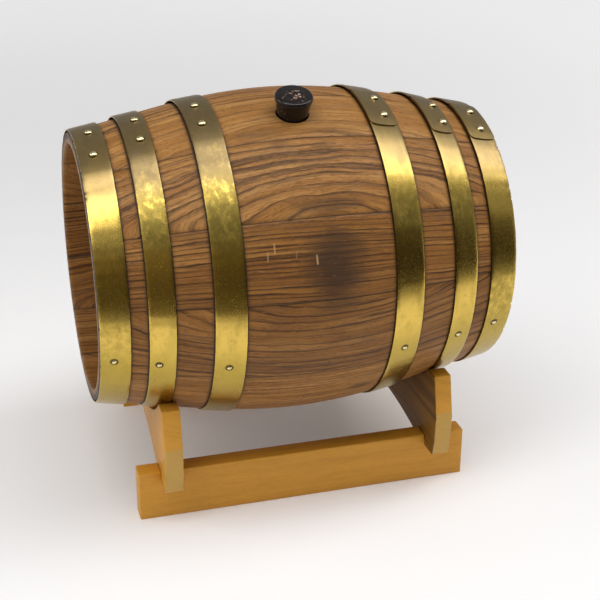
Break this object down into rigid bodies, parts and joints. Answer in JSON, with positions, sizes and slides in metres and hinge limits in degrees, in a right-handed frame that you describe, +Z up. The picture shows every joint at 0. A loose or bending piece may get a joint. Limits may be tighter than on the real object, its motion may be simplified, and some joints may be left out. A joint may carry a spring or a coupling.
{
  "type": "oak wine barrel on stand",
  "caption": "Small coopered oak barrel with riveted brass hoops and a black bung, lying in the saddles of a low beech stand.",
  "frame": {"origin": "on the floor, under the middle of the barrel", "axes": "+X along the barrel's axis, -Y to the front, +Z up"},
  "size_m": [0.34, 0.273, 0.349],
  "materials": {
    "stained_oak": "semi-gloss stain over open grain",
    "head_oak": "semi-gloss stain over open grain",
    "dowel_beech": "bare wood",
    "hoop_brass": "brushed and tarnished",
    "rivet_brass": "polished",
    "nail_brass": "worn",
    "black_lacquer": "gloss black lacquer, chipped on top",
    "stand_beech": "satin varnish"
  },
  "bodies": {
    "stand": {"front_rail": "stand_beech", "back_rail": "stand_beech", "left_cradle": "stand_beech", "right_cradle": "stand_beech"},
    "barrel": {"bung_stave": "stained_oak", "left_belly_hoop": "hoop_brass", "left_belly_hoop_nails": "nail_brass", "left_belly_hoop_rivets": "rivet_brass", "left_end_hoop": "hoop_brass", "left_end_hoop_nails": "nail_brass", "left_end_hoop_rivets": "rivet_brass", "left_head_board_1": "head_oak", "left_head_board_2": "head_oak", "left_head_board_3": "head_oak", "left_head_board_4": "head_oak", "left_head_dowels": "dowel_beech", "left_quarter_hoop": "hoop_brass", "left_quarter_hoop_nails": "nail_brass", "left_quarter_hoop_rivets": "rivet_brass", "right_belly_hoop": "hoop_brass", "right_belly_hoop_nails": "nail_brass", "right_belly_hoop_rivets": "rivet_brass", "right_end_hoop": "hoop_brass", "right_end_hoop_nails": "nail_brass", "right_end_hoop_rivets": "rivet_brass", "right_head_board_1": "head_oak", "right_head_board_2": "head_oak", "right_head_board_3": "head_oak", "right_head_board_4": "head_oak", "right_head_dowels": "dowel_beech", "right_quarter_hoop": "hoop_brass", "right_quarter_hoop_nails": "nail_brass", "right_quarter_hoop_rivets": "rivet_brass", "stave_01": "stained_oak", "stave_02": "stained_oak", "stave_03": "stained_oak", "stave_04": "stained_oak", "stave_05": "stained_oak", "stave_06": "stained_oak", "stave_07": "stained_oak", "stave_08": "stained_oak", "stave_09": "stained_oak", "stave_10": "stained_oak", "stave_11": "stained_oak", "stave_12": "stained_oak"},
    "bung": {"bung": "black_lacquer"}
  },
  "joints": [
    {"name": "barrel_lift", "type": "slide", "parent": "stand", "child": "barrel", "axis": [0, 0, 1], "range_m": [0, 0.15]},
    {"name": "bung_pull", "type": "slide", "parent": "barrel", "child": "bung", "axis": [0, -0.3082, 0.9513], "range_m": [0, 0.05]}
  ]
}
